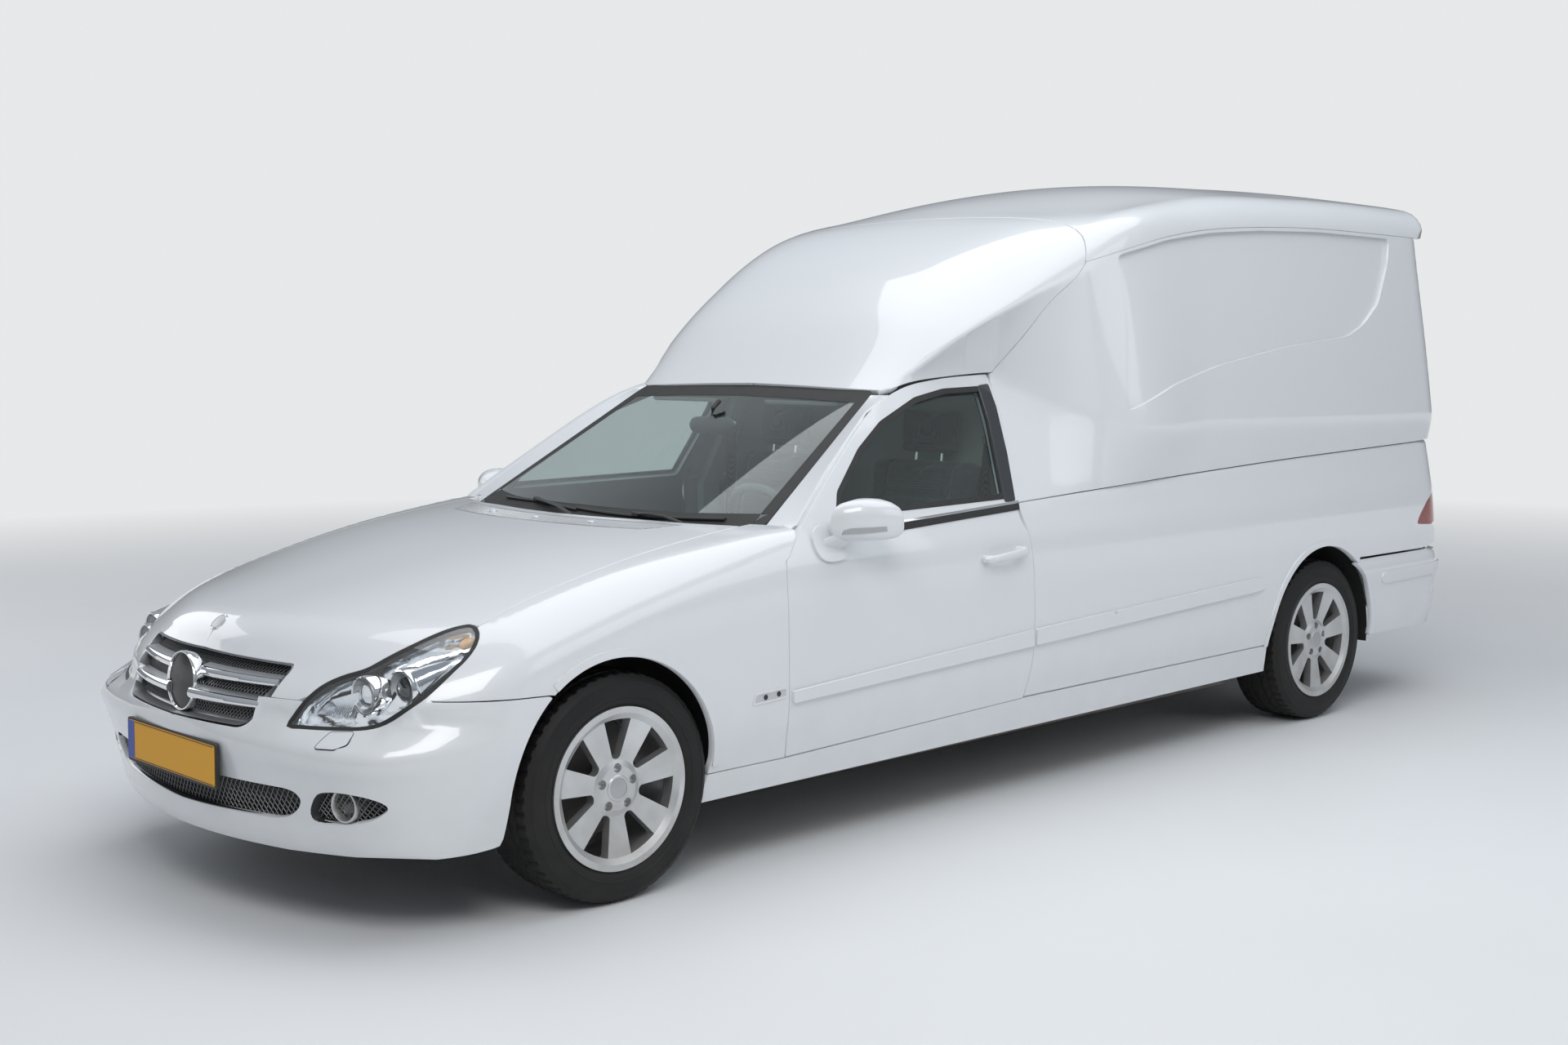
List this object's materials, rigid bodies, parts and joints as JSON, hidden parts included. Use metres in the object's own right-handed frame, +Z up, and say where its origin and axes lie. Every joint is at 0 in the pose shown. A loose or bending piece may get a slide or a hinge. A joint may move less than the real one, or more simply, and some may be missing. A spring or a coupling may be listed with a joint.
{
  "type": "hearse",
  "caption": "Long white hearse on a stretched estate chassis: two-seat cab, swept roof fairing, closed box over a coffin deck, lifting tailgate.",
  "frame": {"origin": "on the ground, midway between the bumpers and the sides", "axes": "+X to the car's left, +Y to the rear, +Z up"},
  "size_m": [2.052, 5.5702, 2.144],
  "materials": {
    "white_paint": "gloss",
    "glass": "gloss",
    "lamp_glass": "gloss",
    "red_lamp": "gloss",
    "black_plastic": "satin",
    "grey_mesh": "satin",
    "grey_trim": "matte",
    "fabric": "matte",
    "tyre": "matte",
    "alloy": "satin",
    "steel": "satin",
    "iron": "matte",
    "deck_board": "satin"
  },
  "bodies": {
    "body": {"box_roof": "white_paint", "box_sides": "white_paint", "bulkhead": "black_plastic", "cab_frame": "white_paint", "cowl_panel": "black_plastic", "dashboard": "grey_trim", "engine_block": "steel", "exhaust": "steel", "floor_pan": "steel", "fog_lamps": "lamp_glass", "front_axle": "iron", "front_bumper": "white_paint", "fuel_tank": "black_plastic", "grilles": "grey_mesh", "head_lamps": "lamp_glass", "head_rests": "fabric", "load_deck": "deck_board", "partition": "grey_trim", "quarters": "white_paint", "rear_axle": "iron", "rear_bumper": "white_paint", "roof_fairing": "white_paint", "seat_backs": "fabric", "seat_bases": "grey_trim", "seat_cushions": "fabric", "sills": "white_paint", "steering_wheel": "grey_trim", "tail_lamps": "red_lamp", "windscreen": "glass", "wings": "white_paint", "wipers": "black_plastic"},
    "hood": {"hood": "white_paint"},
    "door_left": {"door_left": "white_paint", "door_glass_left": "glass", "mirror_left": "white_paint"},
    "door_right": {"door_right": "white_paint", "door_glass_right": "glass", "mirror_right": "white_paint"},
    "tailgate": {"tailgate": "white_paint", "tailgate_glass": "glass"},
    "knuckle_left": {"knuckle_left": "iron"},
    "knuckle_right": {"knuckle_right": "iron"},
    "wheel_front_left": {"rim_front_left": "alloy", "tyre_front_left": "tyre"},
    "wheel_front_right": {"rim_front_right": "alloy", "tyre_front_right": "tyre"},
    "wheel_rear_left": {"rim_rear_left": "alloy", "tyre_rear_left": "tyre"},
    "wheel_rear_right": {"rim_rear_right": "alloy", "tyre_rear_right": "tyre"}
  },
  "joints": [
    {"name": "hood_hinge", "type": "hinge", "parent": "body", "child": "hood", "pos_m": [0, -1.287, 0.93], "axis": [-1, 0, 0], "range_deg": [0, 50]},
    {"name": "door_left_hinge", "type": "hinge", "parent": "body", "child": "door_left", "pos_m": [0.898, -1.274, 0.64], "axis": [0, 0, -1], "range_deg": [0, 68]},
    {"name": "door_right_hinge", "type": "hinge", "parent": "body", "child": "door_right", "pos_m": [-0.898, -1.274, 0.64], "axis": [0, 0, 1], "range_deg": [0, 68]},
    {"name": "tailgate_hinge", "type": "hinge", "parent": "body", "child": "tailgate", "pos_m": [0, 2.619, 1.95], "axis": [1, 0, 0], "range_deg": [0, 85]},
    {"name": "steer_left", "type": "hinge", "parent": "body", "child": "knuckle_left", "pos_m": [0.69, -1.915, 0.32], "axis": [0, 0, 1], "range_deg": [-35, 35]},
    {"name": "steer_right", "type": "hinge", "parent": "body", "child": "knuckle_right", "pos_m": [-0.69, -1.915, 0.32], "axis": [0, 0, 1], "range_deg": [-35, 35]},
    {"name": "spin_front_left", "type": "hinge", "parent": "knuckle_left", "child": "wheel_front_left", "pos_m": [0.78, -1.915, 0.32], "axis": [1, 0, 0], "continuous": true},
    {"name": "spin_front_right", "type": "hinge", "parent": "knuckle_right", "child": "wheel_front_right", "pos_m": [-0.78, -1.915, 0.32], "axis": [1, 0, 0], "continuous": true},
    {"name": "spin_rear_left", "type": "hinge", "parent": "body", "child": "wheel_rear_left", "pos_m": [0.78, 1.635, 0.32], "axis": [1, 0, 0], "continuous": true},
    {"name": "spin_rear_right", "type": "hinge", "parent": "body", "child": "wheel_rear_right", "pos_m": [-0.78, 1.635, 0.32], "axis": [1, 0, 0], "continuous": true}
  ],
  "couplings": [
    {"joint": "steer_right", "follows": "steer_left", "ratio": 1}
  ]
}
